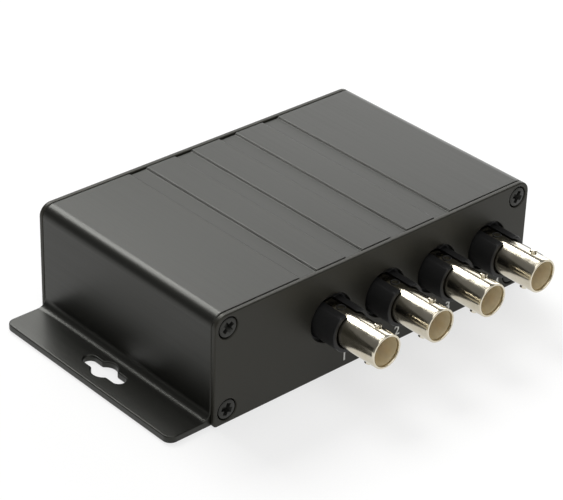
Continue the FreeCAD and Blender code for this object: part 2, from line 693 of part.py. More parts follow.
def socket_face():
    return "Sizes.socket_x", f"{END_FACE} + Sizes.socket_proud", BOARD_TOP


def make_socket_shield():
    """The folded shield, open below, with a window for the plug."""
    body = new_node("socket_shield", *socket_face())
    outline = cross_sketch(body, "shield_outline", "0")
    draw_box(outline, "-Sizes.socket_width / 2", "Sizes.socket_width / 2", "0", "Sizes.socket_height")
    pad(body, "shield", outline, "Sizes.socket_depth")
    inside = cross_sketch(body, "inside_outline", "-Sizes.socket_skin")
    half = "(Sizes.socket_width / 2 - Sizes.socket_skin)"
    draw_box(inside, f"-{half}", half, "0", "Sizes.socket_height - Sizes.socket_skin")
    pocket(body, "inside", inside, "Sizes.socket_depth - 2 * Sizes.socket_skin", flip=True)
    window = cross_sketch(body, "window_outline", "0")
    draw_outline(window, mouth_outline())
    pocket(body, "window", window, "Sizes.socket_skin", flip=True)


def make_socket_insert():
    """The moulded insert that fills the shield, with the mouth for the plug."""
    body = new_node("socket_insert", *socket_face())
    outline = cross_sketch(body, "insert_outline", "-Sizes.socket_skin")
    half = "(Sizes.socket_width / 2 - Sizes.socket_skin)"
    draw_box(outline, f"-{half}", half, "0", "Sizes.socket_height - Sizes.socket_skin")
    pad(body, "insert", outline, "Sizes.socket_depth - 2 * Sizes.socket_skin")
    mouth = cross_sketch(body, "mouth_outline", "-Sizes.socket_skin")
    draw_outline(mouth, mouth_outline())
    pocket(body, "mouth", mouth, "Sizes.mouth_depth", flip=True)


def make_socket_wires():
    """The contact wires, each level along the top of the mouth and then slanting down into it."""
    face_x, face_y, face_z = socket_face()
    top = "(Sizes.socket_height - Sizes.mouth_top)"
    bend = "(Sizes.wire_inset + Sizes.wire_flat)"
    wires = []
    for n in range(SOCKET_WIRES):
        x = f"{face_x} + {n - (SOCKET_WIRES - 1) / 2} * Sizes.wire_pitch"
        body = new_body(f"socket_wire_{n + 1}", x, face_y, face_z)
        profile = new_sketch(body, "wire_profile", "YZ_Plane")
        draw_outline(profile, [
            ("-Sizes.wire_inset", top),
            (f"-{bend}", top),
            (f"-{bend} - Sizes.wire_run", f"{top} - Sizes.wire_drop"),
            (f"-{bend} - Sizes.wire_run", f"{top} - Sizes.wire_drop - Sizes.wire_thick"),
            (f"-{bend}", f"{top} - Sizes.wire_thick"),
            ("-Sizes.wire_inset", f"{top} - Sizes.wire_thick"),
        ])
        pad(body, "wire", profile, "Sizes.wire_width", both_ways=True)
        wires.append(body)
    new_group("socket_wires", wires)


# The power inlet, each piece about the inlet's axis with its origin at the middle of its face


def power_node(label):
    return new_node(label, "Sizes.power_x", f"{END_FACE} + Sizes.power_proud", POWER_Z)


def make_power_inlet():
    """The moulded block that comes through the back plate, with the bore for the plug."""
    body = power_node("power_inlet")
    block = cross_sketch(body, "block_outline", "0")
    draw_box(block, "-Sizes.power_width / 2", "Sizes.power_width / 2", "-Sizes.power_rise", "Sizes.power_top")
    pad(body, "block", block, POWER_BACK)
    bore = cross_sketch(body, "bore_circle", "0")
    draw_circle(bore, "0", "0", "Sizes.power_bore")
    pocket(body, "bore", bore, "Sizes.power_bore_depth", flip=True)
    hole = cross_sketch(body, "tail_hole", "0")
    side = "Sizes.pin_width + 2 * Sizes.power_play"
    draw_centred_box(hole, "0", "0", side, side)
    pocket(body, "hole", hole, POWER_BACK, flip=True)
    slot = level_sketch(body, "slot_outline", "-Sizes.power_rise")
    half = "(Sizes.finger_width / 2 + Sizes.power_play)"
    draw_box(slot, f"-{half}", half, "-Sizes.finger_back",
             "-Sizes.finger_back + Sizes.finger_length + Sizes.power_play")
    pocket(body, "finger_slot", slot, "Sizes.power_rise - Sizes.power_pin_dia", flip=True)


def make_power_pin():
    """The pin that stands on the bottom of the bore, with a square tail to the board."""
    body = power_node("power_pin")
    circle = cross_sketch(body, "pin_circle", "-Sizes.power_bore_depth")
    draw_circle(circle, "0", "0", "Sizes.power_pin_dia")
    pad(body, "pin", circle, "Sizes.power_bore_depth - Sizes.power_pin_setback", flip=True)
    add_tail(body, "-Sizes.power_bore_depth", f"-{HALF_PIN}", (f"-{HALF_PIN}", HALF_PIN), f"-{POWER_BACK}",
             f"{PIN_END} - {POWER_Z}")


def make_power_finger():
    """The spring finger that touches the outside of the plug, bent up through the block's slot."""
    body = power_node("power_finger")
    top = "(Sizes.finger_lift - Sizes.power_bore / 2)"
    front = "(Sizes.finger_length - Sizes.finger_back)"
    leg = "(Sizes.finger_thick - Sizes.finger_back)"
    profile = new_sketch(body, "finger_profile", "YZ_Plane")
    draw_outline(profile, [
        ("-Sizes.finger_back", f"{PIN_END} - {POWER_Z}"),
        (leg, f"{PIN_END} - {POWER_Z}"),
        (leg, f"{top} - Sizes.finger_thick"),
        (front, f"{top} - Sizes.finger_thick"),
        (front, top),
        ("-Sizes.finger_back", top),
    ])
    pad(body, "finger", profile, "Sizes.finger_width", both_ways=True)


# The lights


def light_places():
    """X of the power light and then of each channel light."""
    return [f"(Sizes.light_x - {n} * Sizes.light_pitch)" for n in range(-1, CHANNEL_LIGHTS)]


def make_lights():
    """Clear guides, each bent down over its emitter with a slanting mirror at the bend."""
    labels = ["power_light"] + [f"channel_light_{n + 1}" for n in range(CHANNEL_LIGHTS)]
    half, side, back = "Sizes.light_side / 2", "Sizes.light_side", "-Sizes.light_depth"
    foot = "(Sizes.emitter_height - Sizes.light_rise)"
    for label, x in zip(labels, light_places()):
        body = new_node(label, x, LIGHT_FACE, LIGHT_Z)
        profile = new_sketch(body, "guide_profile", "YZ_Plane")
        draw_outline(profile, [
            ("0", half),
            (f"{back} + {side}", half),
            (back, f"-{half}"),
            (back, foot),
            (f"{back} + {side}", foot),
            (f"{back} + {side}", f"-{half}"),
            ("0", f"-{half}"),
        ])
        pad(body, "guide", profile, side, both_ways=True)


def make_light_emitters():
    """The emitters on the board under the guides, as one node of separate solids."""
    emitters = []
    for n, x in enumerate(light_places(), 1):
        body = new_body(f"light_emitter_{n}", x, EMITTER_Y, BOARD_TOP)
        outline = level_sketch(body, "outline", "0")
        draw_centred_box(outline, "0", "0", "Sizes.emitter_width", "Sizes.emitter_depth")
        pad(body, "emitter", outline, "Sizes.emitter_height")
        emitters.append(body)
    new_group("light_emitters", emitters)


# The circuit board and what stands on it


def board_holes():
    """X, Y, width and depth of each hole for a tail, pin or finger, without its play."""
    pin, tail = "Sizes.pin_width", "Sizes.tail_width"
    ground_x = f"({TAIL_INSIDE} + {TAIL_OUTSIDE}) / 2"
    holes = []
    for number in range(JACKS):
        holes.append((f"({jack_x(number)} + {ground_x})", f"({BLOCK_BACK} + {tail} / 2 - {END_FACE})",
                      f"({TAIL_OUTSIDE} - {TAIL_INSIDE})", tail))
        holes.append((jack_x(number), f"({BLOCK_BACK} + {HALF_PIN} - {END_FACE})", pin, pin))
    power_face = f"({END_FACE} + Sizes.power_proud)"
    holes.append(("Sizes.power_x", f"({power_face} - {POWER_BACK} - {HALF_PIN})", pin, pin))
    holes.append(("Sizes.power_x", f"({power_face} - Sizes.finger_back + Sizes.finger_thick / 2)",
                  "Sizes.finger_width", "Sizes.finger_thick"))
    return holes


def make_board():
    body = new_node("circuit_board")
    outline = level_sketch(body, "board_outline", "Sizes.board_level")
    draw_centred_box(outline, "0", "0", f"2 * ({INNER_HALF} - Sizes.board_gap)",
                     "Sizes.case_length - 2 * Sizes.board_gap")
    pad(body, "board", outline, "Sizes.board_thick")
    holes = level_sketch(body, "hole_outlines", BOARD_TOP)
    for x, y, width, depth in board_holes():
        draw_centred_box(holes, x, y, f"{width} + 2 * Sizes.pin_play", f"{depth} + 2 * Sizes.pin_play")
    pocket(body, "holes", holes, "Sizes.board_thick")


def make_board_block(label, x, y, width, depth, height, bevel=None):
    """A chip, transformer or coil that stands on the board."""
    body = new_node(label, x, y, BOARD_TOP)
    outline = level_sketch(body, "outline", "0")
    draw_centred_box(outline, "0", "0", width, depth)
    latest = pad(body, "block", outline, height)
    if bevel:
        dress(body, "Chamfer", "top_bevel", latest, [{"z": height}], bevel)


def make_board_parts():
    bevel = "Sizes.block_bevel"
    for number in range(JACKS):
        make_board_block(f"line_transformer_{number + 1}", jack_x(number), TRANSFORMER_Y,
                         "Sizes.transformer_width", "Sizes.transformer_depth",
                         "Sizes.transformer_height", bevel)
        make_board_block(f"modem_chip_{number + 1}", jack_x(number), MODEM_Y,
                         "Sizes.modem_side", "Sizes.modem_side", "Sizes.modem_height")
    make_board_block("switch_chip", "Sizes.switch_x", "Sizes.switch_y",
                     "Sizes.switch_side", "Sizes.switch_side", "Sizes.switch_height")
    make_board_block("network_transformer", "Sizes.socket_x", MAGNETICS_Y,
                     "Sizes.magnetics_width", "Sizes.magnetics_depth", "Sizes.magnetics_height", bevel)
    make_board_block("power_inductor", "Sizes.inductor_x", "Sizes.inductor_y",
                     "Sizes.inductor_side", "Sizes.inductor_side", "Sizes.inductor_height", bevel)
    for number in range(CAPACITORS):
        make_board_block(f"capacitor_{number + 1}", f"Sizes.capacitor_x + {number} * Sizes.capacitor_pitch",
                         "Sizes.capacitor_y", "Sizes.capacitor_width", "Sizes.capacitor_depth",
                         "Sizes.capacitor_height")
    make_board_block("crystal", "Sizes.crystal_x", "Sizes.crystal_y",
                     "Sizes.crystal_width", "Sizes.crystal_depth", "Sizes.crystal_height")


def export_nodes():
    """Check every object and write one file for each node."""
    doc.recompute()
    for item in doc.Objects:
        if "Invalid" in item.State or "Error" in item.State:
            raise RuntimeError(f"{item.Label} is {item.State}")
        if item.TypeId == "Sketcher::SketchObject" and not item.FullyConstrained:
            raise RuntimeError(f"{item.Label} has a free point")
    os.makedirs("parts", exist_ok=True)
    for node in nodes:
        if node.Shape.isNull() or not node.Shape.isValid():
            raise RuntimeError(f"{node.Label} has no valid shape")
        node.Shape.exportStep(f"parts/{node.Label}.step")
        box = node.Shape.BoundBox
        print(f"{node.Label}: {box.XLength:.2f} x {box.YLength:.2f} x {box.ZLength:.2f} mm")


fill_sheet()
make_housing()
make_front_plate()
make_back_plate()
make_screws("front_plate_screws", -1)
make_screws("back_plate_screws", 1)
for jack in range(JACKS):
    make_jack_moulding(jack)
    make_jack_barrel(jack)
    make_jack_insulator(jack)
    make_jack_contact(jack)
make_socket_shield()
make_socket_insert()
make_socket_wires()
make_power_inlet()
make_power_pin()
make_power_finger()
make_lights()
make_light_emitters()
make_board()
make_board_parts()
export_nodes()
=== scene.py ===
# %% [markdown]
# An ethernet over coax converter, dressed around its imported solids.
# The solids already have every main form: an extruded case with a flange along each side, two end plates,
# a row of four bayonet coax jacks, and a network socket, a power inlet and five lights at the back.
# This lesson gives each of them its finish, and makes anew the few pieces whose fine edges the eye looks for:
# the turned barrels, the contacts, the screws and the small printed numbers.

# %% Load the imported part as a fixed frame
import bmesh
import bpy
import math
from mathutils import Matrix, Vector


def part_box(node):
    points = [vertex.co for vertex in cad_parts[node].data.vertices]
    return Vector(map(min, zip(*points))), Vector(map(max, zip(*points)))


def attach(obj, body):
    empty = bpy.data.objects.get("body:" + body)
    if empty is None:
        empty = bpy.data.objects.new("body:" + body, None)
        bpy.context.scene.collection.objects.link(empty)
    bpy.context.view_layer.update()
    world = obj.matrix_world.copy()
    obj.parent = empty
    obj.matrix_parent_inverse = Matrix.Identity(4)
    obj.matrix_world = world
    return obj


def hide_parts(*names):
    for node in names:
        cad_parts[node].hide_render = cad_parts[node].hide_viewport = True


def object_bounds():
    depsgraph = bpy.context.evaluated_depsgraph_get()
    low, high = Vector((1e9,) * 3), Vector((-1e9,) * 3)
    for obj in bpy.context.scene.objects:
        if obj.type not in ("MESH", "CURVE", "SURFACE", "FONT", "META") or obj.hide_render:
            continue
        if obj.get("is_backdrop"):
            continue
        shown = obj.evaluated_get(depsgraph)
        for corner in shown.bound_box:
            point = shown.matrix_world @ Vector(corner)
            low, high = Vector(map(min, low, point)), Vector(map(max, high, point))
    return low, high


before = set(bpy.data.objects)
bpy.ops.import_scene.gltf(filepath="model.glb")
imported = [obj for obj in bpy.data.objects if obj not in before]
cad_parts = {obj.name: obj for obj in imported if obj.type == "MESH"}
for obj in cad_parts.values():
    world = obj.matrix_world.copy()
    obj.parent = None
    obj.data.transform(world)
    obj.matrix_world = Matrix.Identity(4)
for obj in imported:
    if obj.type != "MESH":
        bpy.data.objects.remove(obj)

MM = 0.001
cad_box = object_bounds()
print("nodes", len(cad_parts), "box", [[round(x / MM, 2) for x in corner] for corner in cad_box])

# %% [markdown]
# Paint charts and photographs give colours as sRGB hex values, but light adds up in linear numbers.
# Blender's shaders want the linear ones, so one function turns every colour of this lesson.
# A second small function adds any shader node: its settings go to its sockets or its properties by name,
# and its links say which output feeds which input. Each finish below is a few such calls.

# %% Colours and shader nodes
def linear(hex_colour):
    """An sRGB hex colour as linear red, green, blue and alpha."""
    parts = [int(hex_colour[n:n + 2], 16) / 255 for n in (1, 3, 5)]
    return [part / 12.92 if part <= 0.04045 else ((part + 0.055) / 1.055) ** 2.4 for part in parts] + [1.0]


def add_node(tree, kind, settings=None, links=None):
    """Add one shader node, set its sockets and properties, and link its inputs from other nodes' outputs."""
    node = tree.nodes.new(kind)
    for name, setting in (settings or {}).items():
        if isinstance(name, int) or name in node.inputs:
            node.inputs[name].default_value = setting
        else:
            setattr(node, name, setting)
    for name, output in (links or {}).items():
        tree.links.new(output, node.inputs[name])
    return node


def new_finish(name):
    """An empty node material, and the tree to fill."""
    material = bpy.data.materials.new(name)
    material.use_nodes = True
    material.node_tree.nodes.clear()
    return material, material.node_tree


print("the case's black in linear numbers", [round(part, 4) for part in linear("#151512")])

# %% [markdown]
# Every finish here has a grain of some real size: etched metal, moulded plastic, a turning tool's rings.
# A noise texture in object coordinates gives it. All pieces share the frame's metres, so dividing by the
# grain's size in metres is the whole scale, and stretching one axis turns specks into drawn lines.
# The noise then goes two ways: into a bump for relief, and through a range into the roughness, because worn
# and etched metal isn't equally shiny all over.

# %% Grain of a real size
def add_grain(tree, size_mm, run=(1.0, 1.0, 1.0), detail=2.0):
    """Noise with specks of the given size, drawn out by the factors in run along X, Y and Z."""
    place = add_node(tree, "ShaderNodeTexCoord")
    scale = [1 / (size_mm * MM * factor) for factor in run]
    spread = add_node(tree, "ShaderNodeMapping", {"Scale": scale}, {"Vector": place.outputs["Object"]})
    noise = add_node(tree, "ShaderNodeTexNoise", {"Scale": 1.0, "Detail": detail, "Roughness": 0.55},
                     {"Vector": spread.outputs["Vector"]})
    return noise.outputs["Fac"]


def add_relief(tree, height, depth_mm, strength=1.0):
    """A bump of a real depth from a height between 0 and 1."""
    bump = add_node(tree, "ShaderNodeBump", {"Strength": strength, "Distance": depth_mm * MM},
                    {"Height": height})
    return bump.outputs["Normal"]


def add_range(tree, value, low, high):
    """Spread the middle half of a noise between two values."""
    spread = add_node(tree, "ShaderNodeMapRange",
                      {"From Min": 0.25, "From Max": 0.75, "To Min": low, "To Max": high}, {"Value": value})
    return spread.outputs["Result"]


def add_tint(tree, value, dark, light):
    """Blend two colours by a value between 0 and 1."""
    blend = add_node(tree, "ShaderNodeValToRGB", {}, {"Fac": value})
    blend.color_ramp.elements[0].position = 0.3
    blend.color_ramp.elements[0].color = linear(dark)
    blend.color_ramp.elements[1].position = 0.7
    blend.color_ramp.elements[1].color = linear(light)
    return blend.outputs["Color"]


def close_finish(tree, settings, links):
    """The surface shader with its settings and links, and the material's output."""
    surface = add_node(tree, "ShaderNodeBsdfPrincipled", settings, links)
    add_node(tree, "ShaderNodeOutputMaterial", {}, {"Surface": surface.outputs["BSDF"]})


# %% [markdown]
# The case is an aluminium extrusion, etched, dyed and anodised black. The clear oxide over the dye acts as a
# thin coat: nearly black where it mirrors something dark, and an even satin grey where it mirrors a lamp.
# So it isn't a metal to the shader. It is a very dark base under a satin gloss, with the die's faint lines
# drawn along the case and the fine specks of the etch. Real die lines are some 0.1 mm apart, too fine for
# this picture, so they are drawn at 0.5 mm and kept shallow.

# %% Black anodised extrusion
def black_anodised_extrusion():
    material, tree = new_finish("black_anodised_extrusion")
    die_lines = add_grain(tree, 0.5, run=(1.0, 120.0, 1.0))
    etch = add_grain(tree, 0.35)
    line_normal = add_relief(tree, die_lines, 0.004, 0.5)
    relief = add_node(tree, "ShaderNodeBump", {"Strength": 0.5, "Distance": 0.004 * MM},
                      {"Height": etch, "Normal": line_normal})
    close_finish(tree, {"Metallic": 0.0, "IOR": 1.5, "Specular IOR Level": 0.42,
                        "Specular Tint": linear("#FAFBF1")},
                 {"Base Color": add_tint(tree, etch, "#0F0F0D", "#151512"),
                  "Roughness": add_range(tree, die_lines, 0.34, 0.42),
                  "Normal": relief.outputs["Normal"]})
    return material


case_finish = black_anodised_extrusion()

# %% [markdown]
# The end plates are punched from sheet and anodised in the same bath. Sheet has no die lines, only the
# specks of the etch, so it looks a little flatter and browner than the case beside it.

# %% Black anodised sheet
def black_anodised_sheet():
    material, tree = new_finish("black_anodised_sheet")
    etch = add_grain(tree, 0.4, detail=3.0)
    close_finish(tree, {"Metallic": 0.0, "IOR": 1.5, "Specular IOR Level": 0.32,
                        "Specular Tint": linear("#FBFAEE")},
                 {"Base Color": add_tint(tree, etch, "#1E1D19", "#25241F"),
                  "Roughness": add_range(tree, etch, 0.4, 0.48),
                  "Normal": add_relief(tree, etch, 0.006, 0.6)})
    return material


plate_finish = black_anodised_sheet()

# %% [markdown]
# The jacks' necks, the socket's insert and the inlet are moulded plastics. PBT and nylon come out of a fine
# spark-eroded mould, so their skin is softly pebbled at about a quarter of a millimetre and half glossy.
# One function serves them all, with the colour and the gloss of each.

# %% Moulded plastics
def moulded_plastic(name, dark, light, gloss, pebble_mm=0.25, shine=0.5):
    """A plastic from an eroded mould: two near colours, a mean roughness, its pebbles' size and its shine."""
    material, tree = new_finish(name)
    pebble = add_grain(tree, pebble_mm)
    close_finish(tree, {"Metallic": 0.0, "IOR": 1.5, "Specular IOR Level": shine},
                 {"Base Color": add_tint(tree, pebble, dark, light),
                  "Roughness": add_range(tree, pebble, gloss - 0.04, gloss + 0.04),
                  "Normal": add_relief(tree, pebble, 0.008, 0.5)})
    return material


black_pbt = moulded_plastic("black_pbt", "#1B1B1B", "#222222", 0.42, shine=0.25)
black_nylon = moulded_plastic("black_nylon", "#161615", "#1E1E1C", 0.5)
natural_acetal = moulded_plastic("natural_acetal", "#DDD8C8", "#E8E4D6", 0.42, 0.4)
epoxy_moulding = moulded_plastic("epoxy_moulding", "#1B1B1C", "#242425", 0.55, 0.3)
tantalum_moulding = moulded_plastic("tantalum_moulding", "#3A2A16", "#46351E", 0.5, 0.3)
ferrite_body = moulded_plastic("ferrite_body", "#3A3B3D", "#46474A", 0.62, 0.3)
emitter_body = moulded_plastic("emitter_body", "#E6E0B8", "#F0EAC8", 0.4, 0.3)

# %% [markdown]
# The barrels are turned from brass and nickel plated. Nickel is a true metal: its colour is its reflection,
# a little warmer than steel's. The lathe tool leaves rings of about 0.1 mm that the plating softens, drawn
# here 0.3 mm apart so that they just show in the highlights. In the bore the plating is thin and dull: the
# brass shows through, and the skin scatters more light than it mirrors, so it is only partly metallic.

# %% Plated metals
def plated_metal(name, dark, light, roughness, ring_mm=0.3, ring_depth_mm=0.0015, metallic=1.0):
    """A turned and plated metal: two near colours, a mean roughness, and the spacing of the turning rings."""
    material, tree = new_finish(name)
    rings = add_grain(tree, ring_mm, run=(400.0, 1.0, 400.0))
    cloud = add_grain(tree, 2.5, detail=3.0)
    close_finish(tree, {"Metallic": metallic},
                 {"Base Color": add_tint(tree, cloud, dark, light),
                  "Roughness": add_range(tree, cloud, roughness - 0.03, roughness + 0.03),
                  "Normal": add_relief(tree, rings, ring_depth_mm, 0.6)})
    return material


bright_nickel = plated_metal("bright_nickel_plate", "#CEC6B2", "#D9D2C1", 0.16)
thin_nickel = plated_metal("thin_nickel_over_brass", "#E4D7B4", "#EFE3C6", 0.3, metallic=0.42)
gold_plate = plated_metal("gold_plate", "#D6A950", "#E3BB68", 0.2)
tin_plate = plated_metal("tin_plate", "#C2C3C0", "#D0D1CE", 0.3, 0.4)

# %% [markdown]
# The socket's shield is folded from tinned sheet and the crystal sits in a drawn can. Neither was turned, so
# their relief is the rolling mill's: long scratches along the sheet, about 0.3 mm apart.

# %% Rolled sheet and blackened screws
def rolled_sheet(name, dark, light, roughness):
    material, tree = new_finish(name)
    mill_lines = add_grain(tree, 0.3, run=(60.0, 1.0, 1.0))
    close_finish(tree, {"Metallic": 1.0},
                 {"Base Color": add_tint(tree, mill_lines, dark, light),
                  "Roughness": add_range(tree, mill_lines, roughness - 0.05, roughness + 0.05),
                  "Normal": add_relief(tree, mill_lines, 0.002, 0.5)})
    return material


tinned_sheet = rolled_sheet("tinned_sheet", "#BDBDB8", "#CCCCC8", 0.26)


def blackened_steel():
    """Steel under black oxide: a dark, slightly oily skin that still shines like metal at its edges."""
    material, tree = new_finish("blackened_steel")
    skin = add_grain(tree, 0.3, detail=3.0)
    close_finish(tree, {"Metallic": 0.7},
                 {"Base Color": add_tint(tree, skin, "#2B2B29", "#3A3A37"),
                  "Roughness": add_range(tree, skin, 0.32, 0.44),
                  "Normal": add_relief(tree, skin, 0.006, 0.5)})
    return material


screw_finish = blackened_steel()

# %% [markdown]
# The light guides are clear acrylic, tinted for the lamp behind each. Light passes through, so the shader
# transmits most of it, and the moulded face is smooth with only a trace of flow waviness.

# %% Tinted acrylic, board and print
def tinted_acrylic(name, tint):
    material, tree = new_finish(name)
    flow = add_grain(tree, 1.2)
    close_finish(tree, {"Metallic": 0.0, "IOR": 1.49, "Transmission Weight": 0.55, "Base Color": linear(tint)},
                 {"Roughness": add_range(tree, flow, 0.1, 0.16),
                  "Normal": add_relief(tree, flow, 0.01, 0.4)})
    return material


red_acrylic = tinted_acrylic("red_acrylic", "#D8281C")
green_acrylic = tinted_acrylic("green_acrylic", "#3FBF4F")


def solder_mask():
    """Glass-fibre board under green lacquer: the weave shows faintly as threads half a millimetre apart."""
    material, tree = new_finish("green_solder_mask")
    warp = add_grain(tree, 0.5, run=(1.0, 6.0, 1.0))
    close_finish(tree, {"Metallic": 0.0, "IOR": 1.5},
                 {"Base Color": add_tint(tree, warp, "#0F4A25", "#14572C"),
                  "Roughness": add_range(tree, warp, 0.26, 0.34),
                  "Normal": add_relief(tree, warp, 0.01, 0.5)})
    return material


board_finish = solder_mask()


def screen_ink():
    """White ink pressed through a mesh: flat, a little chalky, with the mesh's specks."""
    material, tree = new_finish("white_screen_ink")
    mesh_specks = add_grain(tree, 0.2)
    close_finish(tree, {"Metallic": 0.0, "IOR": 1.5},
                 {"Base Color": add_tint(tree, mesh_specks, "#E8E8E4", "#F2F2EE"),
                  "Roughness": add_range(tree, mesh_specks, 0.55, 0.65),
                  "Normal": add_relief(tree, mesh_specks, 0.01, 0.5)})
    return material


white_ink = screen_ink()

# %% [markdown]
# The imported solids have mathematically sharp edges, and nothing real has. A few tenths of a millimetre of
# rounding catch the light as a thin line, which is what makes a metal edge look made. Four modifiers do
# it and leave the mesh alone: Weld joins the corners that the file format keeps apart, Decimate merges the
# triangles of each flat face, Bevel rounds every edge sharper than an angle, and Weighted Normal keeps the
# flat faces flat beside the new round. Bevel's loop slide is off: beside a round hole it would run the new
# corner far along the next edge, and leave a dark sliver across the plate.

# %% Round an edge and give a solid its finish
def soften(node, width_mm, sharper_than=35.0, segments=2):
    weld = node.modifiers.new("join_corners", "WELD")
    weld.merge_threshold = 0.001 * MM
    merge = node.modifiers.new("merge_flat_facets", "DECIMATE")
    merge.decimate_type = "DISSOLVE"
    merge.angle_limit = math.radians(1)
    bevel = node.modifiers.new("round_edges", "BEVEL")
    bevel.width = width_mm * MM
    bevel.segments = segments
    bevel.limit_method = "ANGLE"
    bevel.angle_limit = math.radians(sharper_than)
    bevel.use_clamp_overlap = False
    bevel.loop_slide = False
    node.modifiers.new("keep_faces_flat", "WEIGHTED_NORMAL")


def dress(names, material, width_mm, segments=2):
    """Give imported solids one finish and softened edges."""
    for name in names:
        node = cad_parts[name]
        node.data.materials.clear()
        node.data.materials.append(material)
        if width_mm:
            soften(node, width_mm, segments=segments)


JACKS = range(1, 5)
dress(["housing"], case_finish, 0.36, segments=3)
dress(["front_plate", "back_plate"], plate_finish, 0.35)
dress([f"jack_moulding_{n}" for n in JACKS], black_pbt, 0.3)
dress([f"jack_insulator_{n}" for n in JACKS], natural_acetal, 0.15)
dress(["socket_shield"], tinned_sheet, 0.06)
dress(["socket_insert"], black_nylon, 0.15)
dress(["socket_wires"], gold_plate, 0.05)
dress(["power_inlet"], black_nylon, 0.25)
dress(["power_pin", "power_finger"], tin_plate, 0.08)
dress(["power_light"], red_acrylic, 0.25)
dress([f"channel_light_{n}" for n in JACKS], green_acrylic, 0.25)
dress(["light_emitters"], emitter_body, 0.08)
dress(["circuit_board"], board_finish, 0.0)
dress([f"line_transformer_{n}" for n in JACKS] + ["network_transformer"], epoxy_moulding, 0.2)
dress([f"modem_chip_{n}" for n in JACKS] + ["switch_chip"], epoxy_moulding, 0.08)
dress(["power_inductor"], ferrite_body, 0.3)
dress(["capacitor_1", "capacitor_2"], tantalum_moulding, 0.15)
dress(["crystal"], tinned_sheet, 0.15)
print("finishes", len(bpy.data.materials))

# %% [markdown]
# A turned piece is a profile spun about an axis, so the helper takes pairs of radius and depth in millimetres
# and joins ring to ring. Each span of the profile may have its own finish, as a plated barrel has inside and
# out. Where the radius is zero the ring shrinks to one point. Everything is built in place, in the frame's
# own metres, about an axis that runs along Y as the jacks' axes do.

# %% Turn a profile
def turn_profile(shape, profile, axis_point, finishes=None, steps=96):
    """Add a turned form to a bmesh. The profile lists (radius, depth) in mm, depth along +Y from the point."""
    rings = []
    for radius, depth in profile:
        centre = axis_point + Vector((0, depth * MM, 0))
        if radius == 0:
            rings.append([shape.verts.new(centre)])
            continue
        spokes = [Vector((math.cos(turn), 0, math.sin(turn))) for turn in
                  (2 * math.pi * step / steps for step in range(steps))]
        rings.append([shape.verts.new(centre + spoke * radius * MM) for spoke in spokes])
    for span, (near, far) in enumerate(zip(rings, rings[1:])):
        for step in range(steps):
            after = (step + 1) % steps
            corners = [near[step % len(near)], near[after % len(near)],
                       far[after % len(far)], far[step % len(far)]]
            face = shape.faces.new(list(dict.fromkeys(corners)))
            face.material_index = finishes[span] if finishes else 0


def finish_piece(name, shape, materials, replaced=(), smooth_below=32.0):
    """Turn a bmesh into a piece that rides on the part, shaded smooth except at its sharp edges."""
    bmesh.ops.recalc_face_normals(shape, faces=shape.faces)
    mesh = bpy.data.meshes.new(name)
    shape.to_mesh(mesh)
    shape.free()
    for material in materials:
        mesh.materials.append(material)
    mesh.shade_smooth()
    mesh.set_sharp_from_angle(angle=math.radians(smooth_below))
    piece = bpy.data.objects.new(name, mesh)
    bpy.context.scene.collection.objects.link(piece)
    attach(piece, "root")
    if replaced:
        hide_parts(*replaced)
    return piece


# %% [markdown]
# The bayonet barrel is the brightest thing in the picture, so its edges matter most. The solid is a plain
# tube with two lugs. This one keeps that tube's size and adds what the lathe did: a rounded lip at the
# mouth that shows as a thin bright rim, a slight taper into the bore, and round lugs with a broken edge.
# Its place and length come from the solids' own boxes, so the piece moves with them if the solids change.

# %% The barrels' sizes, from their solids
BARREL_OUTSIDE = 4.8
BARREL_BORE = 4.1
LIP = 0.28
LUG_RADIUS = 1.0
LUG_REACH = 5.5
LUG_SETBACK = 5.0
LUG_TURN = math.radians(15)
LUG_STEPS = 32
TAIL_HALF = 0.6
TAIL_INSIDE = 0.1
TAIL_OUTSIDE = 0.6


def jack_axis(number):
    """The point where a jack's axis crosses the plane of its mouth."""
    low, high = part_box(f"jack_barrel_{number}")
    insulator_low, insulator_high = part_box(f"jack_insulator_{number}")
    middle = (insulator_low + insulator_high) / 2
    return Vector((middle.x, low.y, middle.z))


def barrel_length(number):
    """From the mouth to the barrel's back end, which stands level with the insulator's."""
    return (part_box(f"jack_insulator_{number}")[1].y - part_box(f"jack_barrel_{number}")[0].y) / MM


print("jack axes in mm", [[round(x / MM, 2) for x in jack_axis(n)] for n in JACKS])

# %% The barrels
def add_lug(shape, mouth, side):
    """One round bayonet lug, from inside the barrel's wall outwards, with a broken edge at its top."""
    out = Vector((math.sin(LUG_TURN), 0, math.cos(LUG_TURN))) * side
    along = Vector((0, 1, 0))
    across = out.cross(along)
    foot = mouth + along * LUG_SETBACK * MM
    rings = []
    for radius, reach in ((1.0, BARREL_BORE + 0.3), (1.0, LUG_REACH - 0.15), (0.85, LUG_REACH)):
        turns = [2 * math.pi * step / LUG_STEPS for step in range(LUG_STEPS)]
        spokes = [(along * math.cos(turn) + across * math.sin(turn)) * radius for turn in turns]
        rings.append([shape.verts.new(foot + out * reach * MM + spoke * LUG_RADIUS * MM) for spoke in spokes])
    for near, far in zip(rings, rings[1:]):
        for step in range(LUG_STEPS):
            after = (step + 1) % LUG_STEPS
            shape.faces.new([near[step], near[after], far[after], far[step]])
    shape.faces.new(rings[-1])
    shape.faces.new(rings[0][::-1])


def add_block(shape, low, high):
    """A plain box between two corners, for the solder tails that stand out of sight on the board."""
    box = bmesh.ops.create_cube(shape, size=1.0)
    bmesh.ops.scale(shape, verts=box["verts"], vec=high - low)
    bmesh.ops.translate(shape, verts=box["verts"], vec=(low + high) / 2)


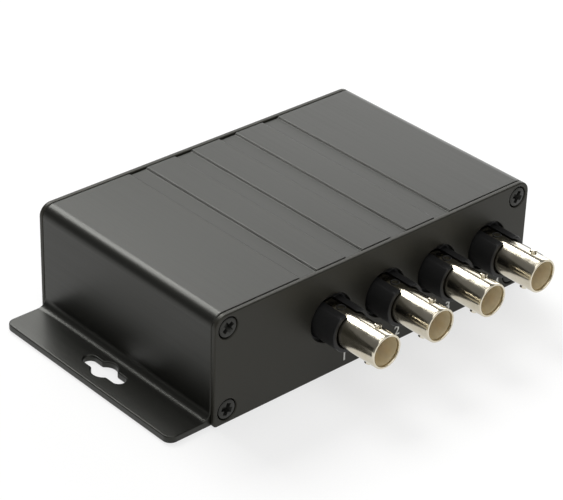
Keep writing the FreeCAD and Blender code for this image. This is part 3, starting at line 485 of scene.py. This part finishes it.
def make_barrel(number):
    mouth = jack_axis(number)
    length = barrel_length(number)
    outside, bore = BARREL_OUTSIDE, BARREL_BORE
    shape = bmesh.new()
    lip_middle = (outside + bore) / 2
    profile = [
        (outside - 0.1, length),
        (outside, length - 0.1),
        (outside, LIP + 0.35),
        (outside - 0.03, LIP),
        (outside - 0.10, 0.09),
        (lip_middle + 0.08, 0.0),
        (lip_middle - 0.08, 0.0),
        (bore + 0.12, 0.07),
        (bore + 0.02, LIP),
        (bore, LIP + 0.45),
        (bore, length - 0.1),
        (bore + 0.1, length),
        (outside - 0.1, length),
    ]
    inside = 9
    finishes = [1 if span >= inside else 0 for span in range(len(profile) - 1)]
    turn_profile(shape, profile, mouth, finishes)
    for side in (1, -1):
        add_lug(shape, mouth, side)
    low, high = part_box(f"jack_barrel_{number}")
    near_x = mouth.x + (bore + TAIL_INSIDE) * MM
    far_x = mouth.x + (bore + TAIL_OUTSIDE) * MM
    back = mouth.y + length * MM
    half = TAIL_HALF * MM
    add_block(shape, Vector((near_x, back, mouth.z - half)), Vector((far_x, high.y, mouth.z + half)))
    add_block(shape, Vector((near_x, high.y - 2 * half, low.z)), Vector((far_x, high.y, mouth.z - half)))
    return finish_piece(f"turned_barrel_{number}", shape, [bright_nickel, thin_nickel],
                        [f"jack_barrel_{number}"])


barrels = [make_barrel(number) for number in JACKS]
print("barrel length in mm", round(barrel_length(1), 2), "faces", len(barrels[0].data.polygons))

# %% [markdown]
# The centre contact is a gold plated socket: a turned pin, bored, and slit so that it grips the plug's pin.
# The slit is what tells it from a plain tube. The easy way to make a slit turned form is to turn it and
# leave out the faces where the saw went, then give the shell its inner wall from a second profile. Here the
# outside, the rounded mouth and the bore are one profile, and two narrow cheeks close each side of the slit.

# %% The contacts
CONTACT_RADIUS = 1.05
CONTACT_BORE = 0.675
CONTACT_BORE_DEPTH = 5.5
CONTACT_TAIL_HALF = 0.45
SLIT_HALF = 0.17


def add_half_socket(shape, front, solid_from, side, steps=24):
    """One spring leaf of the slit socket: the half of a tube on one side of the slit."""
    spread = math.asin(SLIT_HALF / CONTACT_RADIUS)
    start = spread + (0 if side > 0 else math.pi)
    sweep = math.pi - 2 * spread
    profile = [(CONTACT_BORE, solid_from), (CONTACT_RADIUS, solid_from), (CONTACT_RADIUS, 0.18),
               (CONTACT_RADIUS - 0.14, 0.0), (CONTACT_BORE + 0.1, 0.0), (CONTACT_BORE, 0.12)]
    rows = []
    for step in range(steps + 1):
        turn = start + sweep * step / steps
        spoke = Vector((math.cos(turn), 0, math.sin(turn)))
        rows.append([shape.verts.new(front + Vector((0, depth * MM, 0)) + spoke * radius * MM)
                     for radius, depth in profile])
    count = len(profile)
    for near, far in zip(rows, rows[1:]):
        for n in range(count):
            shape.faces.new([near[n], near[(n + 1) % count], far[(n + 1) % count], far[n]])
    shape.faces.new(rows[0])
    shape.faces.new(rows[-1][::-1])


def make_contact(number):
    low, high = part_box(f"jack_contact_{number}")
    mouth = jack_axis(number)
    front = Vector((mouth.x, low.y, mouth.z))
    seat = (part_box(f"jack_insulator_{number}")[0].y - low.y) / MM
    shape = bmesh.new()
    for side in (1, -1):
        add_half_socket(shape, front, CONTACT_BORE_DEPTH, side)
    turn_profile(shape, [(0, CONTACT_BORE_DEPTH), (CONTACT_RADIUS, CONTACT_BORE_DEPTH), (CONTACT_RADIUS, seat),
                         (0, seat)], front, steps=48)
    half = CONTACT_TAIL_HALF * MM
    add_block(shape, Vector((mouth.x - half, front.y + seat * MM, mouth.z - half)),
              Vector((mouth.x + half, high.y, mouth.z + half)))
    add_block(shape, Vector((mouth.x - half, high.y - 2 * half, low.z)),
              Vector((mouth.x + half, high.y, mouth.z - half)))
    return finish_piece(f"slit_contact_{number}", shape, [gold_plate],
                        [f"jack_contact_{number}"])


contacts = [make_contact(number) for number in JACKS]
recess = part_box("jack_contact_1")[0].y - jack_axis(1).y
print("contact mouth in mm behind the barrel's", round(recess / MM, 2))

# %% [markdown]
# Each moulded neck has a flat on top, and the flat carries the round print of an ejector pin: where the
# mould's pin pushed the warm plastic out, it left a low ring. It is a small turned lip that stands upright,
# so this ring is turned about Z.

# %% The ejector pin's print on each neck
NECK_FLAT = 4.85
NECK_REACH_TO_PRINT = 3.2
PRINT_RADIUS = 1.1
PRINT_STEPS = 40


def make_ejector_print(number, plate_face):
    """A low rounded ring on the neck's flat."""
    mouth = jack_axis(number)
    centre = Vector((mouth.x, plate_face - NECK_REACH_TO_PRINT * MM, mouth.z + NECK_FLAT * MM))
    profile = [(PRINT_RADIUS + 0.16, -0.02), (PRINT_RADIUS + 0.08, 0.07), (PRINT_RADIUS - 0.08, 0.07),
               (PRINT_RADIUS - 0.16, -0.02)]
    shape = bmesh.new()
    turns = [2 * math.pi * step / PRINT_STEPS for step in range(PRINT_STEPS)]
    rings = [[shape.verts.new(centre + Vector((math.cos(turn) * radius, math.sin(turn) * radius, rise)) * MM)
              for turn in turns] for radius, rise in profile]
    for near, far in zip(rings, rings[1:] + rings[:1]):
        for step in range(PRINT_STEPS):
            after = (step + 1) % PRINT_STEPS
            shape.faces.new([near[step], near[after], far[after], far[step]])
    return finish_piece(f"ejector_print_{number}", shape, [black_pbt], smooth_below=60.0)


front_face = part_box("front_plate")[0].y
prints = [make_ejector_print(number, front_face) for number in JACKS]
print("front plate's face at y mm", round(front_face / MM, 2))

# %% [markdown]
# The end plates are held by cross-head screws, blackened and sunk in the plate. The solid is a plain disc on
# a shank. This piece keeps its size and adds a rounded rim, a thread and the cross that the driver turns. The
# cross is cut from the head with Boolean modifiers, because a tapered cross is hard to build point by
# point and easy to cut as a real punch does. Each screw was left at its own angle by the driver.

# %% One screw with its cross
HOLE_SEAT = 2.75
HEAD_RADIUS = 2.75
HEAD_RIM = 0.35
SHANK_RADIUS = 1.15
THREAD_DEPTH = 0.2
THREAD_PITCH = 0.8
CROSS_SPAN = 3.5
CROSS_WIDTH = 1.35
CROSS_DEPTH = 1.3


def temporary_object(name, shape):
    mesh = bpy.data.meshes.new(name)
    bmesh.ops.recalc_face_normals(shape, faces=shape.faces)
    shape.to_mesh(mesh)
    shape.free()
    item = bpy.data.objects.new(name, mesh)
    bpy.context.scene.collection.objects.link(item)
    return item


def cross_arm(width, height):
    """One arm of the punch: a bar that narrows as it goes into the head."""
    shape = bmesh.new()
    corners = []
    for depth, share in ((-0.4, 1.1), (CROSS_DEPTH, 0.62)):
        for x, z in ((-1, -1), (1, -1), (1, 1), (-1, 1)):
            corners.append(shape.verts.new(Vector((x * width / 2 * share, depth, z * height / 2 * share)) * MM))
    shape.faces.new(corners[:4])
    shape.faces.new(corners[4:])
    for n in range(4):
        shape.faces.new([corners[n], corners[(n + 1) % 4], corners[4 + (n + 1) % 4], corners[4 + n]])
    return temporary_object("punch_arm", shape)


def screw_mesh(head_mm, length_mm):
    """A screw along +Y with the top of its head at the origin."""
    profile = [(0, 0.0), (HEAD_RADIUS - HEAD_RIM, 0.0), (HEAD_RADIUS - 0.1, 0.12), (HEAD_RADIUS, HEAD_RIM),
               (HEAD_RADIUS, head_mm), (SHANK_RADIUS, head_mm)]
    crest = head_mm + 0.4
    while crest < length_mm - THREAD_PITCH:
        profile += [(SHANK_RADIUS - THREAD_DEPTH, crest), (SHANK_RADIUS, crest + THREAD_PITCH / 2)]
        crest += THREAD_PITCH
    profile += [(SHANK_RADIUS - 0.25, length_mm), (0, length_mm)]
    shape = bmesh.new()
    turn_profile(shape, profile, Vector((0, 0, 0)), steps=48)
    screw = temporary_object("one_screw", shape)
    arms = [cross_arm(CROSS_SPAN, CROSS_WIDTH), cross_arm(CROSS_WIDTH, CROSS_SPAN)]
    for arm in arms:
        cut = screw.modifiers.new("cross", "BOOLEAN")
        cut.operation = "DIFFERENCE"
        cut.solver = "EXACT"
        cut.object = arm
    bpy.context.view_layer.update()
    finished = bpy.data.meshes.new_from_object(screw.evaluated_get(bpy.context.evaluated_depsgraph_get()))
    for item in [screw] + arms:
        bpy.data.objects.remove(item)
    return finished


# %% The screws of each end plate
def screw_places(node):
    """Centres of the four screws, from the box that holds them all."""
    low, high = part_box(node)
    reach = HOLE_SEAT * MM
    return [(x, z) for x in (low.x + reach, high.x - reach) for z in (low.z + reach, high.z - reach)]


def make_screws(node, outward):
    """Four screws in one piece. Outward is -1 at the front and 1 at the back."""
    low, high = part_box(node)
    plate_low, plate_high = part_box(node.replace("_screws", ""))
    top = low.y if outward < 0 else high.y
    inner = plate_high.y if outward < 0 else plate_low.y
    source = screw_mesh(abs(inner - top) / MM, (high.y - low.y) / MM)
    shape = bmesh.new()
    for n, (x, z) in enumerate(screw_places(node)):
        known = set(shape.verts)
        shape.from_mesh(source)
        fresh = [vert for vert in shape.verts if vert not in known]
        spin = Matrix.Rotation(math.radians(24 + 31 * n), 4, "Y")
        face_out = Matrix.Rotation(math.pi if outward > 0 else 0, 4, "Z")
        bmesh.ops.transform(shape, verts=fresh, matrix=Matrix.Translation((x, top, z)) @ face_out @ spin)
    return finish_piece(f"cross_head_{node}", shape, [screw_finish], [node])


screws = [make_screws("front_plate_screws", -1), make_screws("back_plate_screws", 1)]
print("screw faces", [len(piece.data.polygons) for piece in screws])

# %% [markdown]
# Small white numbers are screen printed beside the jacks. Ink has a thickness of a few hundredths of a
# millimetre, so each figure is a text curve given that depth and turned into a mesh. It stands on the
# plate's face, low at the right of its jack where a fitter looks for it.

# %% Printed numbers
FIGURE_HEIGHT = 2.9
INK_DEPTH = 0.03
STROKE_GAIN = 0.06
FIGURE_ASIDE = 5.2
FIGURE_LEVEL = 1.9
CAPITAL_SHARE = 0.72


def print_figure(number, plate_face):
    text = bpy.data.curves.new(f"figure_{number}", "FONT")
    text.body = str(number)
    text.size = FIGURE_HEIGHT / CAPITAL_SHARE * MM
    text.extrude = INK_DEPTH / 2 * MM
    text.offset = STROKE_GAIN * MM
    text.resolution_u = 6
    text.align_x = "CENTER"
    drawn = bpy.data.objects.new(f"figure_curve_{number}", text)
    bpy.context.scene.collection.objects.link(drawn)
    bpy.context.view_layer.update()
    mesh = bpy.data.meshes.new_from_object(drawn.evaluated_get(bpy.context.evaluated_depsgraph_get()))
    bpy.data.objects.remove(drawn)
    mouth = jack_axis(number)
    upright = Matrix.Rotation(math.radians(90), 4, "X")
    place = Vector((mouth.x + FIGURE_ASIDE * MM, plate_face - INK_DEPTH / 2 * MM, FIGURE_LEVEL * MM))
    mesh.transform(Matrix.Translation(place) @ upright)
    mesh.materials.clear()
    mesh.materials.append(white_ink)
    piece = bpy.data.objects.new(f"printed_figure_{number}", mesh)
    bpy.context.scene.collection.objects.link(piece)
    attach(piece, "root")
    return piece


figures = [print_figure(number, front_face) for number in JACKS]
print("figures", [piece.name for piece in figures])

# %% [markdown]
# The case stands on a pale sweep under soft boxes, as such products are photographed. The floor is white
# paper: a matt surface with the slightest tooth. The camera also sees a share of plain white added to it, so
# that the paper fades to white at the edges and still keeps the soft shadow under the case. Mirroring metal
# gets the same white, or it would show another floor than the eye does.

# %% The floor
FLOOR_HALF = 3.0
FLOOR_DROP = 0.02
WHITE_SHARE = 0.66


def white_paper():
    material, tree = new_finish("white_paper")
    tooth = add_grain(tree, 0.6)
    paper = add_node(tree, "ShaderNodeBsdfPrincipled",
                     {"Metallic": 0.0, "IOR": 1.45, "Specular IOR Level": 0.1},
                     {"Base Color": add_tint(tree, tooth, "#EDEDEC", "#F1F1F0"),
                      "Roughness": add_range(tree, tooth, 0.85, 0.95),
                      "Normal": add_relief(tree, tooth, 0.01, 0.3)})
    glow = add_node(tree, "ShaderNodeEmission", {"Color": linear("#FFFFFF"), "Strength": 1.0})
    ray = add_node(tree, "ShaderNodeLightPath")
    seen = add_node(tree, "ShaderNodeMath", {"operation": "ADD", "use_clamp": True},
                    {0: ray.outputs["Is Camera Ray"], 1: ray.outputs["Is Glossy Ray"]})
    seen_or_through = add_node(tree, "ShaderNodeMath", {"operation": "ADD", "use_clamp": True},
                               {0: seen.outputs[0], 1: ray.outputs["Is Transmission Ray"]})
    share = add_node(tree, "ShaderNodeMath", {"operation": "MULTIPLY", 1: WHITE_SHARE},
                     {0: seen_or_through.outputs[0]})
    blend = add_node(tree, "ShaderNodeMixShader", {},
                     {0: share.outputs[0], 1: paper.outputs["BSDF"], 2: glow.outputs["Emission"]})
    add_node(tree, "ShaderNodeOutputMaterial", {}, {"Surface": blend.outputs["Shader"]})
    return material


floor_shape = bmesh.new()
bmesh.ops.create_grid(floor_shape, x_segments=2, y_segments=2, size=FLOOR_HALF)
floor_mesh = bpy.data.meshes.new("paper_floor")
floor_shape.to_mesh(floor_mesh)
floor_shape.free()
floor_mesh.materials.append(white_paper())
floor = bpy.data.objects.new("paper_floor", floor_mesh)
floor.location.z = cad_box[0][2] - FLOOR_DROP * MM
bpy.context.scene.collection.objects.link(floor)
floor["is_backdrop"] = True
print("floor at z mm", round(floor.location.z / MM, 3))

# %% [markdown]
# A black case is lit by what it mirrors. Seen from the camera, the top mirrors the room behind it and to its
# right. A large bright panel there, like a white wall, turns the top satin grey. A smaller and stronger soft
# box stands further left and higher: the case's rounded long edge and the barrels mirror it as bright bands.
# One over the case makes the floor white and the shadows soft, and one in front lifts the end plate, the
# side and the barrels' mouths. The world is a plain grey, the dim room round the set.

# %% Lamps and room
def add_softbox(name, towards, distance, width, height, power, colour="#FFFFFF"):
    """An area lamp in the given direction from the case, turned to face it."""
    lamp = bpy.data.lights.new(name, "AREA")
    lamp.shape = "RECTANGLE"
    lamp.size = width
    lamp.size_y = height
    lamp.energy = power
    lamp.color = linear(colour)[:3]
    item = bpy.data.objects.new(name, lamp)
    direction = Vector(towards).normalized()
    item.location = direction * distance
    item.rotation_euler = direction.to_track_quat("Z", "Y").to_euler()
    bpy.context.scene.collection.objects.link(item)
    return item


add_softbox("back_softbox", (0.14, 0.65, 0.74), 1.0, 0.56, 0.44, 8.3)
add_softbox("right_wall", (0.86, 0.38, 0.34), 1.2, 1.18, 0.84, 6.9)
add_softbox("front_fill", (-0.35, -0.8, 0.5), 1.1, 0.8, 0.5, 3.0)
add_softbox("overhead_softbox", (-0.1, -0.15, 1.0), 1.1, 1.1, 1.1, 5.6)

world = bpy.data.worlds.new("grey_room")
bpy.context.scene.world = world
world.use_nodes = True
world.node_tree.nodes.clear()
room = add_node(world.node_tree, "ShaderNodeBackground", {"Color": linear("#BEBEBE"), "Strength": 0.3})
add_node(world.node_tree, "ShaderNodeOutputWorld", {}, {"Surface": room.outputs["Background"]})
print("lamps", [item.name for item in bpy.data.lights])

# %% [markdown]
# The camera stands in front and to the left, looking down at 31 degrees. Its place was worked out from the
# case's own edges in the photograph: parallel edges that draw together tell how far away a lens stood. The
# back of a camera is its own Z axis, so the three axes are built from the two angles and a slight roll.

# %% Camera
CAMERA_PLACE = Vector((-344.15, -372.19, 318.62)) * MM
AZIMUTH, ELEVATION, ROLL = (math.radians(angle) for angle in (-42.62, 31.0, 1.89))
SENSOR_WIDTH = 36.0
LENS = 141.27

back = Vector((math.sin(AZIMUTH) * math.cos(ELEVATION), -math.cos(AZIMUTH) * math.cos(ELEVATION),
               math.sin(ELEVATION)))
right = (-back).cross(Vector((0, 0, 1))).normalized()
up = right.cross(-back)
camera_right = math.cos(ROLL) * right + math.sin(ROLL) * up
camera_up = -math.sin(ROLL) * right + math.cos(ROLL) * up

lens = bpy.data.cameras.new("camera")
lens.sensor_width = SENSOR_WIDTH
lens.sensor_fit = "HORIZONTAL"
lens.lens = LENS
lens.clip_start = 0.01
camera = bpy.data.objects.new("camera", lens)
axes = Matrix((camera_right, camera_up, back)).transposed()
camera.matrix_world = Matrix.Translation(CAMERA_PLACE) @ axes.to_4x4()
bpy.context.scene.collection.objects.link(camera)
bpy.context.scene.camera = camera
bpy.context.scene.view_settings.view_transform = "Standard"
print("camera distance in mm", round(CAMERA_PLACE.length / MM, 1))

# %% [markdown]
# Last, the boxes of the imported solids and of all that is shown are printed side by side.

# %% Sizes and finish
sizes = {"cad": [list(corner) for corner in cad_box], "visual": [list(corner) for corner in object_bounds()]}
for name, box in sizes.items():
    print(name, "box in mm", [[round(x / MM, 2) for x in corner] for corner in box])
